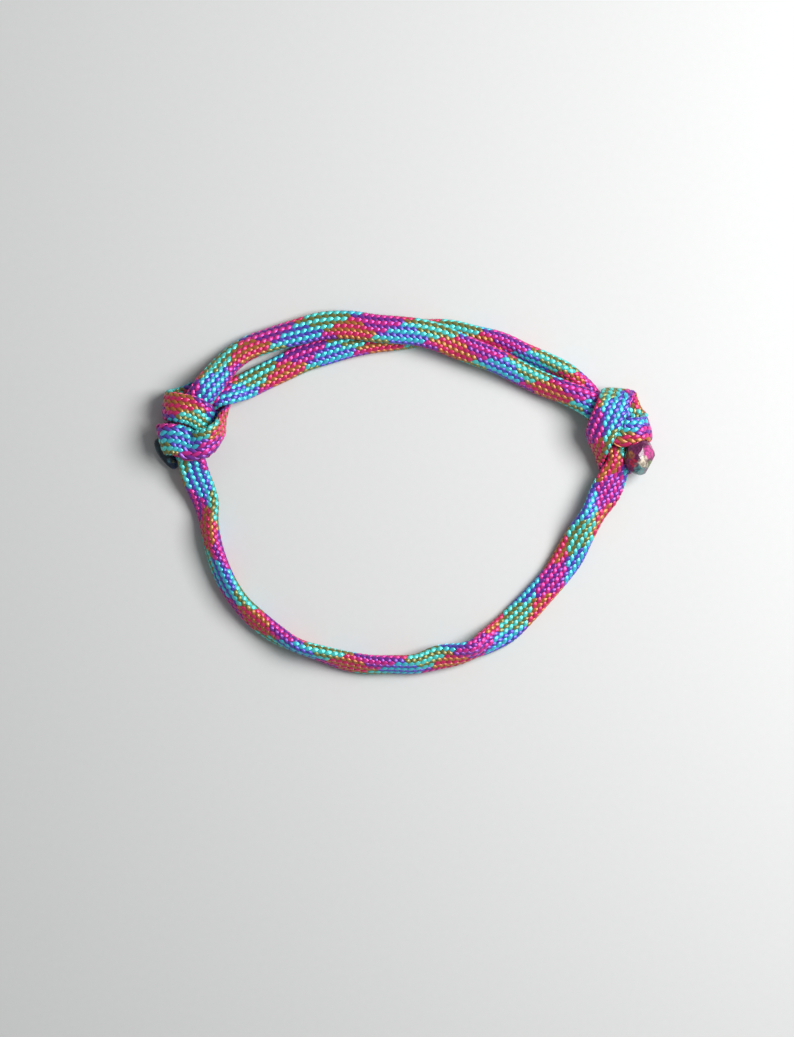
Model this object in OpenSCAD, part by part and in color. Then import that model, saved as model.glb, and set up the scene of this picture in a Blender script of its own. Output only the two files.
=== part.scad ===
// Adjustable bracelet of one braided cord with two sliding knots, lying flat.
// Millimetres. +Z is up from the surface that it lies on, +Y is towards the doubled strands,
// and the origin is on that surface in the middle of the bracelet.

/* [Cord] */
// Length once round the braided sleeve
cord_girth = 11.6; // [11.4:0.1:11.8]
// Thickness of the cord where a knot presses it flat
pressed_thickness = 1.3; // [1.1:0.1:1.4]
// Flattening of the cord's outline, from 2 for an ellipse to 4 for a squarer one
cord_flatness = 2.5; // [2:0.25:4]
// Corners of the cord's outline
cord_corners = 12; // [8:2:12]
// Rings from one row of a route to the next
rings_per_row = 2; // [1:1:3]

/* [Fit] */
// Gap between two stretches of the cord that follow each other
joint_gap = 0.1; // [0.05:0.05:0.2]

/* [Melted ends] */
// Length of the faceted end beside the right knot
right_end_length = 3.2; // [2.8:0.1:3.6]
// Length of the dark end under the left knot
left_end_length = 1.7; // [1.4:0.1:2]

/* [Hidden] */

// Each row of a route is a place on the cord's centre line (x, y, z), the width of the flattened
// cord there, and the direction that its broad face looks (x, y, z). The first and the last row
// only steer the curve: the cord is drawn from the second row to the last but one.

// From inside the left knot, round the wrist, to inside the right knot
wrist_route = [
    // x      y     z    width  face
    [-35.5,  14.6, 4.2,  4.7,  0.0,  0.0,  1.0],
    [-36.5,  12.1, 4.0,  4.7,  0.1,  0.0,  1.0],
    [-36.7,   9.5, 4.0,  4.7,  0.1,  0.0,  1.0],
    [-36.6,   7.0, 3.9,  4.7,  0.0,  0.0,  1.0],
    [-36.2,   4.9, 3.5,  4.8,  0.0,  0.0,  1.0],
    [-35.7,   2.7, 2.7,  4.9,  0.0,  0.0,  1.0],
    [-34.8,   0.5, 2.0,  4.8, -0.1,  0.0,  1.0],
    [-33.9,  -2.0, 1.9,  4.6, -0.4,  0.0,  1.0],
    [-33.4,  -5.3, 2.1,  4.3, -1.0,  0.0,  0.6],
    [-32.9,  -8.3, 2.1,  4.2, -1.0, -0.1,  0.4],
    [-31.9, -11.9, 2.1,  4.3, -1.0, -0.3,  0.6],
    [-30.3, -15.6, 2.1,  4.3, -1.0, -0.6,  0.7],
    [-28.0, -19.0, 2.1,  4.3, -1.0, -0.8,  0.7],
    [-25.1, -21.9, 2.0,  4.3, -0.8, -0.8,  0.9],
    [-21.9, -24.3, 2.1,  4.3, -0.6, -1.0,  0.6],
    [-18.4, -26.2, 2.3,  4.4, -0.4, -1.0,  0.1],
    [-14.5, -27.5, 2.3,  4.4, -0.3, -1.0,  0.3],
    [-10.5, -28.7, 2.1,  4.5, -0.2, -1.0,  0.7],
    [ -6.5, -29.4, 2.1,  4.5,  0.0, -1.0,  0.7],
    [ -2.4, -29.4, 2.2,  4.5,  0.0, -1.0,  0.6],
    [  1.7, -29.3, 2.0,  4.5,  0.1, -1.0,  0.8],
    [  5.6, -28.2, 1.8,  4.4,  0.2, -0.5,  1.0],
    [  9.7, -27.4, 2.1,  4.4,  0.2, -0.8,  0.7],
    [ 11.6, -26.7, 2.1,  4.3,  0.3, -0.8,  0.5],
    [ 13.4, -25.7, 1.8,  4.4,  0.3, -0.5,  1.0],
    [ 16.8, -23.5, 1.1,  4.9,  0.0,  0.0,  1.0],
    [ 19.8, -20.6, 0.9,  4.9,  0.0,  0.0,  1.0],
    [ 22.6, -17.6, 1.0,  4.7,  0.0,  0.0,  1.0],
    [ 25.3, -14.5, 1.1,  4.7,  0.0,  0.0,  1.0],
    [ 27.6, -11.1, 1.4,  5.1,  0.0,  0.0,  1.0],
    [ 29.5,  -7.5, 2.0,  4.8,  0.1,  0.0,  1.0],
    [ 31.5,  -4.2, 2.6,  4.6,  0.5, -0.3,  1.0],
    [ 33.6,  -0.5, 2.8,  5.3,  0.2,  0.0,  1.0],
    [ 35.0,   2.4, 3.2,  5.1,  0.4,  0.0,  1.0],
    [ 36.0,   5.2, 3.3,  4.1,  0.2,  0.0,  1.0],
    [ 35.8,   7.9, 2.7,  4.6,  0.0,  0.0,  1.0],
    [ 34.9,  10.5, 2.3,  4.9,  0.0,  0.0,  1.0],
    [ 33.3,  12.8, 2.1,  4.9,  0.0,  0.0,  1.0]];

// From inside the right knot, over the other strand, to inside the left knot
over_route = [
    // x      y     z    width  face
    [ 34.8,  11.9, 3.9,  4.9,  0.0,  0.0,  1.0],
    [ 32.8,  13.6, 3.8,  4.9,  0.0,  0.0,  1.0],
    [ 30.6,  15.0, 3.8,  4.6, -0.1, -0.2,  1.0],
    [ 26.9,  16.7, 3.3,  4.3, -0.3, -0.5,  0.8],
    [ 23.5,  18.0, 2.5,  4.3, -0.2, -0.5,  0.9],
    [ 20.1,  19.6, 2.5,  4.3, -0.2, -0.5,  0.9],
    [ 16.0,  21.7, 3.2,  4.3, -0.2, -0.4,  0.9],
    [ 11.2,  23.6, 3.3,  4.5, -0.1, -0.3,  1.0],
    [  8.5,  24.7, 3.2,  4.6, -0.1, -0.2,  1.0],
    [  6.0,  25.8, 3.3,  4.7,  0.0,  0.0,  1.0],
    [  2.4,  26.8, 3.2,  4.7,  0.0,  0.0,  1.0],
    [ -1.0,  27.2, 3.2,  4.7,  0.0,  0.0,  1.0],
    [ -5.1,  27.5, 3.1,  4.8,  0.0,  0.1,  1.0],
    [ -9.4,  28.1, 2.7,  4.9,  0.0,  0.2,  1.0],
    [-13.9,  28.0, 2.2,  4.9,  0.0,  0.2,  1.0],
    [-18.5,  26.9, 1.8,  4.7, -0.1,  0.3,  1.0],
    [-23.0,  25.6, 1.7,  4.4, -0.2,  0.4,  1.0],
    [-27.3,  23.9, 1.9,  4.3, -0.3,  0.4,  1.0],
    [-29.7,  22.1, 2.5,  4.4, -0.3,  0.3,  1.0],
    [-31.9,  19.6, 3.7,  4.6, -0.1,  0.1,  1.0],
    [-34.0,  17.0, 4.6,  4.7,  0.1,  0.0,  1.0],
    [-35.5,  14.6, 4.2,  4.7,  0.0,  0.0,  1.0],
    [-36.5,  12.1, 4.0,  4.7,  0.1,  0.0,  1.0],
    [-36.7,   9.5, 4.0,  4.7,  0.1,  0.0,  1.0]];

// From inside the right knot, under the other strand, to inside the left knot
under_route = [
    // x      y     z    width  face
    [ 35.8,   7.9, 2.7,  4.6,  0.0,  0.0,  1.0],
    [ 34.9,  10.5, 2.3,  4.9,  0.0,  0.0,  1.0],
    [ 33.3,  12.8, 2.1,  4.9,  0.0,  0.0,  1.0],
    [ 31.5,  14.8, 1.6,  4.8,  0.0,  0.0,  1.0],
    [ 30.0,  16.8, 1.3,  4.7, -0.1, -0.1,  1.0],
    [ 28.4,  18.7, 1.7,  4.4, -0.3, -0.4,  0.8],
    [ 26.9,  20.2, 2.1,  4.3, -0.4, -0.7,  0.5],
    [ 23.4,  21.9, 2.1,  4.3, -0.3, -0.7,  0.5],
    [ 20.0,  23.4, 2.1,  4.3, -0.3, -0.7,  0.5],
    [ 15.9,  25.0, 1.9,  4.3, -0.2, -0.5,  0.8],
    [ 11.1,  26.0, 1.6,  4.5, -0.1, -0.3,  1.0],
    [  7.3,  26.8, 1.2,  4.6,  0.0,  0.0,  1.0],
    [  2.4,  26.7, 1.1,  4.6,  0.0,  0.0,  1.0],
    [ -1.0,  26.2, 1.1,  4.6,  0.0,  0.0,  1.0],
    [ -4.8,  25.8, 1.1,  4.6,  0.0,  0.0,  1.0],
    [ -9.4,  24.9, 1.1,  4.6,  0.0,  0.0,  1.0],
    [-13.9,  23.6, 1.1,  4.6,  0.0,  0.0,  1.0],
    [-17.2,  22.6, 1.1,  4.7,  0.0,  0.0,  1.0],
    [-20.7,  21.0, 1.1,  4.7,  0.0,  0.0,  1.0],
    [-24.1,  19.4, 1.1,  4.7,  0.0,  0.0,  1.0],
    [-27.6,  17.7, 1.4,  4.7,  0.0,  0.1,  1.0],
    [-29.9,  16.9, 2.5,  4.8, -0.2,  0.4,  1.0],
    [-31.9,  16.5, 2.8,  4.9, -0.2,  0.4,  1.0],
    [-34.0,  15.5, 2.5,  5.0, -0.1,  0.1,  1.0],
    [-35.8,  14.1, 2.2,  5.0,  0.0,  0.0,  1.0]];

// The turns tied round the over strand, from the under strand to the dark melted end
left_knot_route = [
    // x      y     z    width  face
    [-31.9,  16.5, 2.8,  4.9,  0.2, -0.4, -1.0],
    [-34.0,  15.5, 2.5,  5.0,  0.1, -0.1, -1.0],
    [-35.8,  14.1, 2.2,  5.0,  0.0,  0.0, -1.0],
    [-37.0,  12.0, 2.3,  5.0,  0.0,  0.0, -1.0],
    [-38.3,  10.3, 2.3,  5.0,  0.0,  0.0, -1.0],
    [-39.8,   9.2, 2.4,  5.1, -0.3, -0.1, -1.0],
    [-40.8,   8.9, 3.0,  5.3, -1.0, -0.3, -0.7],
    [-41.2,   8.7, 4.0,  5.4, -1.0, -0.3,  0.1],
    [-40.9,   8.7, 5.1,  5.4, -0.8, -0.2,  0.8],
    [-39.9,   8.7, 5.7,  5.4, -0.3, -0.1,  1.0],
    [-38.1,   8.4, 5.8,  5.4,  0.0,  0.0,  1.0],
    [-36.2,   7.6, 5.8,  5.3,  0.0,  0.0,  1.0],
    [-34.8,   7.8, 6.2,  5.2,  0.2, -0.1,  1.0],
    [-33.2,   8.6, 6.1,  5.0,  0.5, -0.3,  0.8],
    [-31.9,   9.8, 5.4,  5.0,  0.9, -0.3,  0.5],
    [-31.2,  11.1, 4.0,  5.0,  1.0,  0.0,  0.1],
    [-31.1,  12.2, 2.5,  5.0,  0.9,  0.1, -0.5],
    [-31.7,  13.7, 1.3,  5.0,  0.3,  0.2, -1.0],
    [-33.3,  15.2, 0.8,  5.0,  0.0,  0.0, -1.0],
    [-35.3,  16.1, 0.8,  5.0,  0.0,  0.0, -1.0],
    [-37.3,  15.4, 0.8,  5.0,  0.0,  0.0, -1.0],
    [-39.2,  14.9, 1.1,  5.0, -0.6,  0.0, -1.0],
    [-40.2,  14.7, 2.1,  5.0, -1.0,  0.1, -0.4],
    [-40.5,  14.5, 3.6,  5.0, -1.0,  0.1,  0.2],
    [-39.9,  14.3, 4.9,  5.0, -0.7,  0.1,  0.9],
    [-38.2,  14.0, 5.9,  5.0, -0.1,  0.1,  1.0],
    [-36.4,  13.6, 6.0,  5.0,  0.0,  0.0,  1.0],
    [-34.9,  12.9, 5.9,  5.0,  0.2, -0.2,  1.0],
    [-33.9,  12.0, 5.2,  5.0,  0.8, -0.4,  0.7],
    [-33.5,  11.0, 4.1,  5.0,  1.0, -0.1,  0.0],
    [-33.3,  10.4, 3.0,  5.0,  1.0,  0.0, -0.1],
    [-33.5,   9.8, 1.9,  5.0,  0.9,  0.0, -0.5],
    [-34.3,   8.8, 0.9,  5.0,  0.1,  0.0, -1.0],
    [-36.3,   8.3, 0.8,  5.0,  0.0,  0.0, -1.0],
    [-38.4,   7.5, 0.8,  5.0,  0.0,  0.0, -1.0],
    [-40.0,   6.8, 0.9,  5.0,  0.0,  0.0, -1.0],
    [-41.2,   5.7, 1.0,  5.0,  0.0,  0.0, -1.0]];

// The turns tied round the under strand, from the over strand to the faceted melted end
right_knot_route = [
    // x      y     z    width  face
    [ 30.6,  15.0, 3.8,  4.6, -0.1, -0.2,  1.0],
    [ 32.8,  13.6, 3.8,  4.9,  0.0,  0.0,  1.0],
    [ 34.8,  11.9, 3.9,  4.9,  0.0,  0.0,  1.0],
    [ 36.4,  10.0, 4.9,  5.2,  0.0,  0.0,  1.0],
    [ 38.2,  10.0, 5.1,  4.9,  0.1,  0.0,  1.0],
    [ 39.7,  10.2, 4.6,  4.6,  0.4,  0.1,  1.0],
    [ 40.4,  10.4, 3.5,  4.6,  1.0,  0.3,  0.3],
    [ 40.4,  10.6, 2.2,  4.6,  1.0,  0.3, -0.4],
    [ 39.7,  11.1, 1.2,  4.8,  0.3,  0.1, -1.0],
    [ 38.3,  12.3, 0.9,  5.0,  0.1,  0.0, -1.0],
    [ 37.1,  14.5, 1.0,  5.1,  0.0,  0.3, -1.0],
    [ 36.5,  16.1, 2.1,  5.3,  0.0,  1.0, -0.5],
    [ 35.9,  16.8, 3.5,  5.5,  0.0,  1.0,  0.3],
    [ 35.5,  16.0, 5.3,  5.6,  0.0,  0.7,  1.0],
    [ 34.8,  14.2, 6.3,  5.6,  0.0,  0.1,  1.0],
    [ 33.9,  12.1, 6.5,  5.6, -0.1,  0.0,  1.0],
    [ 32.9,   9.9, 6.1,  5.4, -0.4, -0.1,  1.0],
    [ 32.3,   8.2, 5.1,  5.1, -0.7, -0.4,  0.8],
    [ 32.3,   7.2, 3.5,  4.9, -0.9, -0.5,  0.3],
    [ 32.8,   6.2, 1.9,  4.9, -0.8, -0.4, -0.5],
    [ 34.0,   5.6, 1.0,  5.0, -0.2, -0.1, -1.0],
    [ 35.6,   5.3, 0.8,  5.0,  0.0,  0.0, -1.0],
    [ 37.2,   5.3, 0.9,  5.0,  0.1,  0.0, -1.0],
    [ 38.6,   5.5, 1.6,  4.9,  0.6,  0.0, -1.0],
    [ 39.4,   5.5, 2.7,  4.8,  0.9, -0.2, -0.6],
    [ 40.2,   5.3, 3.8,  4.8,  0.9, -0.2, -0.6]];

// The outlines of the two melted ends from joint to tip: share of the length, then width and
// thickness as shares of the cord's
left_end_outline = [
    // along  width  thickness
    [0.00, 0.90, 0.90],
    [0.20, 1.02, 1.10],
    [0.55, 1.04, 1.20],
    [0.85, 0.98, 1.10],
    [1.00, 0.82, 0.70]];
right_end_outline = [
    // along  width  thickness
    [0.00, 0.90, 0.90],
    [0.12, 1.08, 1.30],
    [0.45, 1.15, 1.70],
    [0.80, 1.00, 1.30],
    [1.00, 0.55, 0.60]];

// The cord keeps its girth, as a strip with two half round edges does, down to a pressed strip
function thickness(width) = max(pressed_thickness, (cord_girth - 2 * width) / (PI - 2));

function place(row) = [row[0], row[1], row[2]];
function face(row) = [row[4], row[5], row[6]];
function unit(v) = v / norm(v);

// Slope of a route at row i for each millimetre, from the rows on both sides
function slope(route, i) =
    let (before = norm(place(route[i]) - place(route[i - 1])),
         after = norm(place(route[i + 1]) - place(route[i])))
    ((route[i] - route[i - 1]) / before * after + (route[i + 1] - route[i]) / after * before)
        / (before + after);

// The route between row i and the next one, t running from 0 to 1
function between(route, i, t) =
    let (span = norm(place(route[i + 1]) - place(route[i])))
    (2 * t ^ 3 - 3 * t ^ 2 + 1) * route[i] + (3 * t ^ 2 - 2 * t ^ 3) * route[i + 1]
        + (t ^ 3 - 2 * t ^ 2 + t) * span * slope(route, i)
        + (t ^ 3 - t ^ 2) * span * slope(route, i + 1);

// The direction of travel there
function heading(route, i, t) =
    let (span = norm(place(route[i + 1]) - place(route[i])))
    unit(place((6 * t ^ 2 - 6 * t) * (route[i] - route[i + 1])
        + (3 * t ^ 2 - 4 * t + 1) * span * slope(route, i)
        + (3 * t ^ 2 - 2 * t) * span * slope(route, i + 1)));

// Frame of a ring: its middle, the way across the cord, the way its face looks, the way along
function frame(middle, along, looks) =
    let (across = unit(cross(along, looks)))
    [middle, across, cross(across, along), along];

// One coordinate of the cord's rounded outline
function rounded(c) = sign(c) * abs(c) ^ (2 / cord_flatness);

function ring(frame, width, thick, ahead = 0) = [
    for (k = [0 : cord_corners - 1])
        let (angle = 360 * k / cord_corners)
        frame[0] + frame[3] * ahead
            + frame[1] * width / 2 * rounded(cos(angle))
            + frame[2] * thick / 2 * rounded(sin(angle))];

// Rings of a route, with its two ends drawn back by half of the gap
function route_rings(route) =
    let (last = (len(route) - 3) * rings_per_row)
    [for (n = [0 : last])
        let (i = min(floor(n / rings_per_row), len(route) - 4) + 1,
             t = n / rings_per_row - i + 1,
             row = between(route, i, t),
             along = heading(route, i, t),
             back = n == 0 ? joint_gap / 2 : n == last ? -joint_gap / 2 : 0)
        ring(frame(place(row), along, face(row)), row[3], thickness(row[3]), back)];

// A closed skin over a list of rings
module skin(rings) {
    count = cord_corners;
    last = len(rings) - 1;
    polyhedron(
        points = [for (one = rings) each one],
        faces = concat(
            [[for (k = [0 : count - 1]) k]],
            [for (n = [0 : last - 1], k = [0 : count - 1])
                let (a = n * count + k, b = n * count + (k + 1) % count)
                each [[a, a + count, b + count], [a, b + count, b]]],
            [[for (k = [count - 1 : -1 : 0]) last * count + k]]));
}

// A melted end on the last drawn row of a route
module melted_end(route, outline, length) {
    last = len(route) - 3;
    row = between(route, last, 1);
    along = heading(route, last, 1);
    base = frame(place(row), along, face(row));
    skin([for (part = outline)
        ring(base, row[3] * part[1], thickness(row[3]) * part[2],
             joint_gap / 2 + part[0] * length)]);
}

module wrist_strand() {
    color("mediumturquoise") skin(route_rings(wrist_route));
}

module over_strand() {
    color("deeppink") skin(route_rings(over_route));
}

module under_strand() {
    color("mediumpurple") skin(route_rings(under_route));
}

module left_knot() {
    color("darkturquoise") skin(route_rings(left_knot_route));
}

module right_knot() {
    color("mediumvioletred") skin(route_rings(right_knot_route));
}

module left_melted_end() {
    color("darkslategray") melted_end(left_knot_route, left_end_outline, left_end_length);
}

module right_melted_end() {
    color("rosybrown") melted_end(right_knot_route, right_end_outline, right_end_length);
}

wrist_strand();
over_strand();
under_strand();
left_knot();
right_knot();
left_melted_end();
right_melted_end();
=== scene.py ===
"""Dresses the braided cord bracelet with real yarns, melted ends, a floor, light and a camera."""

import logging
import math
from dataclasses import dataclass
from enum import Enum

import bmesh
import bpy
import numpy as np
from bmesh.types import BMEdge, BMesh
from bpy.types import ID, Material, Mesh, NodeSocket, Object
from mathutils import Matrix, Vector


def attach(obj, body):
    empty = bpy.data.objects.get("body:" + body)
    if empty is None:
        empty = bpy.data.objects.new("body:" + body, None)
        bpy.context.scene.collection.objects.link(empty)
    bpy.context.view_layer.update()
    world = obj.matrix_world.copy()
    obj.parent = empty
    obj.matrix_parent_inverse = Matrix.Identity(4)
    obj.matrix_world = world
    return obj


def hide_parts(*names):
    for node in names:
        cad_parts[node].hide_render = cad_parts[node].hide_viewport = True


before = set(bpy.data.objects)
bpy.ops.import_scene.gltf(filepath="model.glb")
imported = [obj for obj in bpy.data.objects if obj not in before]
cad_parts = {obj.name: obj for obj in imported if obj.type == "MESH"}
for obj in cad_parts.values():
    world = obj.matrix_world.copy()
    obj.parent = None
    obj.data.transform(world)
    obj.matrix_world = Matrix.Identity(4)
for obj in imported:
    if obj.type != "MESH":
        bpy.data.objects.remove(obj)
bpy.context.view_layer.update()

LOG = logging.getLogger("bracelet")
Row = tuple[float, float, float, float, float, float, float]
Place = tuple[float, float, float]
Colour = tuple[float, float, float]
Turns = tuple[float, ...]

MILLIMETRES = 1000
YARN_MAP = "Yarn"
BAKE_MAP = "OFBake"
BOUNCE_SHARE = "Beside"

# Where a tube's turns start in its column of the bake's map, and the share that they take up
BAKE_TURNS = (0.05, 0.9)

# The same for a tube's length, from the bottom of the map to its top
BAKE_LENGTH = (0.002, 0.996)

# Each row of a route is a place on the cord's centre line (x, y, z), the width of the flattened
# cord there, and the direction that its broad face looks (x, y, z). The first and the last row
# only steer the curve.

# From inside the left knot, round the wrist, to inside the right knot
WRIST_ROUTE: tuple[Row, ...] = (
    (-0.0355, 0.0146, 0.0042, 0.0047, 0.0, 0.0, 1.0),
    (-0.0365, 0.0121, 0.004, 0.0047, 0.1, 0.0, 1.0),
    (-0.0367, 0.0095, 0.004, 0.0047, 0.1, 0.0, 1.0),
    (-0.0366, 0.007, 0.0039, 0.0047, 0.0, 0.0, 1.0),
    (-0.0362, 0.0049, 0.0035, 0.0048, 0.0, 0.0, 1.0),
    (-0.0357, 0.0027, 0.0027, 0.0049, 0.0, 0.0, 1.0),
    (-0.0348, 0.0005, 0.002, 0.0048, -0.1, 0.0, 1.0),
    (-0.0339, -0.002, 0.0019, 0.0046, -0.4, 0.0, 1.0),
    (-0.0334, -0.0053, 0.0021, 0.0043, -1.0, 0.0, 0.6),
    (-0.0329, -0.0083, 0.0021, 0.0042, -1.0, -0.1, 0.4),
    (-0.0319, -0.0119, 0.0021, 0.0043, -1.0, -0.3, 0.6),
    (-0.0303, -0.0156, 0.0021, 0.0043, -1.0, -0.6, 0.7),
    (-0.028, -0.019, 0.0021, 0.0043, -1.0, -0.8, 0.7),
    (-0.0251, -0.0219, 0.002, 0.0043, -0.8, -0.8, 0.9),
    (-0.0219, -0.0243, 0.0021, 0.0043, -0.6, -1.0, 0.6),
    (-0.0184, -0.0262, 0.0023, 0.0044, -0.4, -1.0, 0.1),
    (-0.0145, -0.0275, 0.0023, 0.0044, -0.3, -1.0, 0.3),
    (-0.0105, -0.0287, 0.0021, 0.0045, -0.2, -1.0, 0.7),
    (-0.0065, -0.0294, 0.0021, 0.0045, 0.0, -1.0, 0.7),
    (-0.0024, -0.0294, 0.0022, 0.0045, 0.0, -1.0, 0.6),
    (0.0017, -0.0293, 0.002, 0.0045, 0.1, -1.0, 0.8),
    (0.0056, -0.0282, 0.0018, 0.0044, 0.2, -0.5, 1.0),
    (0.0097, -0.0274, 0.0021, 0.0044, 0.2, -0.8, 0.7),
    (0.0116, -0.0267, 0.0021, 0.0043, 0.3, -0.8, 0.5),
    (0.0134, -0.0257, 0.0018, 0.0044, 0.3, -0.5, 1.0),
    (0.0168, -0.0235, 0.0011, 0.0049, 0.0, 0.0, 1.0),
    (0.0198, -0.0206, 0.0009, 0.0049, 0.0, 0.0, 1.0),
    (0.0226, -0.0176, 0.001, 0.0047, 0.0, 0.0, 1.0),
    (0.0253, -0.0145, 0.0011, 0.0047, 0.0, 0.0, 1.0),
    (0.0276, -0.0111, 0.0014, 0.0051, 0.0, 0.0, 1.0),
    (0.0295, -0.0075, 0.002, 0.0048, 0.1, 0.0, 1.0),
    (0.0315, -0.0042, 0.0026, 0.0046, 0.5, -0.3, 1.0),
    (0.0336, -0.0005, 0.0028, 0.0053, 0.2, 0.0, 1.0),
    (0.035, 0.0024, 0.0032, 0.0051, 0.4, 0.0, 1.0),
    (0.036, 0.0052, 0.0033, 0.0041, 0.2, 0.0, 1.0),
    (0.0358, 0.0079, 0.0027, 0.0046, 0.0, 0.0, 1.0),
    (0.0349, 0.0105, 0.0023, 0.0049, 0.0, 0.0, 1.0),
    (0.0333, 0.0128, 0.0021, 0.0049, 0.0, 0.0, 1.0),
)

# From inside the right knot, over the other strand, to inside the left knot
OVER_ROUTE: tuple[Row, ...] = (
    (0.0348, 0.0119, 0.0039, 0.0049, 0.0, 0.0, 1.0),
    (0.0328, 0.0136, 0.0038, 0.0049, 0.0, 0.0, 1.0),
    (0.0306, 0.015, 0.0038, 0.0046, -0.1, -0.2, 1.0),
    (0.0269, 0.0167, 0.0033, 0.0043, -0.3, -0.5, 0.8),
    (0.0235, 0.018, 0.0025, 0.0043, -0.2, -0.5, 0.9),
    (0.0201, 0.0196, 0.0025, 0.0043, -0.2, -0.5, 0.9),
    (0.016, 0.0217, 0.0032, 0.0043, -0.2, -0.4, 0.9),
    (0.0112, 0.0236, 0.0033, 0.0045, -0.1, -0.3, 1.0),
    (0.0085, 0.0247, 0.0032, 0.0046, -0.1, -0.2, 1.0),
    (0.006, 0.0258, 0.0033, 0.0047, 0.0, 0.0, 1.0),
    (0.0024, 0.0268, 0.0032, 0.0047, 0.0, 0.0, 1.0),
    (-0.001, 0.0272, 0.0032, 0.0047, 0.0, 0.0, 1.0),
    (-0.0051, 0.0275, 0.0031, 0.0048, 0.0, 0.1, 1.0),
    (-0.0094, 0.0281, 0.0027, 0.0049, 0.0, 0.2, 1.0),
    (-0.0139, 0.028, 0.0022, 0.0049, 0.0, 0.2, 1.0),
    (-0.0185, 0.0269, 0.0018, 0.0047, -0.1, 0.3, 1.0),
    (-0.023, 0.0256, 0.0017, 0.0044, -0.2, 0.4, 1.0),
    (-0.0273, 0.0239, 0.0019, 0.0043, -0.3, 0.4, 1.0),
    (-0.0297, 0.0221, 0.0025, 0.0044, -0.3, 0.3, 1.0),
    (-0.0319, 0.0196, 0.0037, 0.0046, -0.1, 0.1, 1.0),
    (-0.034, 0.017, 0.0046, 0.0047, 0.1, 0.0, 1.0),
    (-0.0355, 0.0146, 0.0042, 0.0047, 0.0, 0.0, 1.0),
    (-0.0365, 0.0121, 0.004, 0.0047, 0.1, 0.0, 1.0),
    (-0.0367, 0.0095, 0.004, 0.0047, 0.1, 0.0, 1.0),
)

# From inside the right knot, under the other strand, to inside the left knot
UNDER_ROUTE: tuple[Row, ...] = (
    (0.0358, 0.0079, 0.0027, 0.0046, 0.0, 0.0, 1.0),
    (0.0349, 0.0105, 0.0023, 0.0049, 0.0, 0.0, 1.0),
    (0.0333, 0.0128, 0.0021, 0.0049, 0.0, 0.0, 1.0),
    (0.0315, 0.0148, 0.0016, 0.0048, 0.0, 0.0, 1.0),
    (0.03, 0.0168, 0.0013, 0.0047, -0.1, -0.1, 1.0),
    (0.0284, 0.0187, 0.0017, 0.0044, -0.3, -0.4, 0.8),
    (0.0269, 0.0202, 0.0021, 0.0043, -0.4, -0.7, 0.5),
    (0.0234, 0.0219, 0.0021, 0.0043, -0.3, -0.7, 0.5),
    (0.02, 0.0234, 0.0021, 0.0043, -0.3, -0.7, 0.5),
    (0.0159, 0.025, 0.0019, 0.0043, -0.2, -0.5, 0.8),
    (0.0111, 0.026, 0.0016, 0.0045, -0.1, -0.3, 1.0),
    (0.0073, 0.0268, 0.0012, 0.0046, 0.0, 0.0, 1.0),
    (0.0024, 0.0267, 0.0011, 0.0046, 0.0, 0.0, 1.0),
    (-0.001, 0.0262, 0.0011, 0.0046, 0.0, 0.0, 1.0),
    (-0.0048, 0.0258, 0.0011, 0.0046, 0.0, 0.0, 1.0),
    (-0.0094, 0.0249, 0.0011, 0.0046, 0.0, 0.0, 1.0),
    (-0.0139, 0.0236, 0.0011, 0.0046, 0.0, 0.0, 1.0),
    (-0.0172, 0.0226, 0.0011, 0.0047, 0.0, 0.0, 1.0),
    (-0.0207, 0.021, 0.0011, 0.0047, 0.0, 0.0, 1.0),
    (-0.0241, 0.0194, 0.0011, 0.0047, 0.0, 0.0, 1.0),
    (-0.0276, 0.0177, 0.0014, 0.0047, 0.0, 0.1, 1.0),
    (-0.0299, 0.0169, 0.0025, 0.0048, -0.2, 0.4, 1.0),
    (-0.0319, 0.0165, 0.0028, 0.0049, -0.2, 0.4, 1.0),
    (-0.034, 0.0155, 0.0025, 0.005, -0.1, 0.1, 1.0),
    (-0.0358, 0.0141, 0.0022, 0.005, 0.0, 0.0, 1.0),
)

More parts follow.
